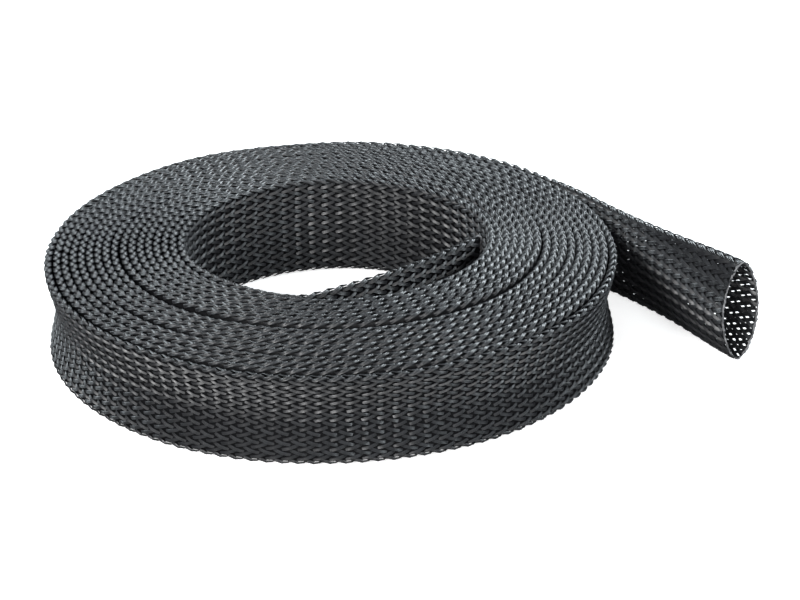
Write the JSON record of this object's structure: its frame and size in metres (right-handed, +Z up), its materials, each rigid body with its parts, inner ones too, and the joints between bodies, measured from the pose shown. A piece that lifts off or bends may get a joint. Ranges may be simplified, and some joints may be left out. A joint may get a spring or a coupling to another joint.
{
  "type": "braided cable sleeve",
  "caption": "Flat coil of dark grey braided cable sleeve, pressed flat and wound on edge, with its outer end free and its mouth open.",
  "frame": {"origin": "on the floor under the middle of the whole coil's outline, its free end included", "axes": "+Z up along the coil's axis, the free outer end runs off along -Y at the +X side, +X is the longest side of the outline"},
  "size_m": [0.1224, 0.1164, 0.0215],
  "materials": {
    "braid": "woven monofilament, satin"
  },
  "bodies": {
    "root": {"braided_sleeve": "braid"}
  },
  "joints": []
}
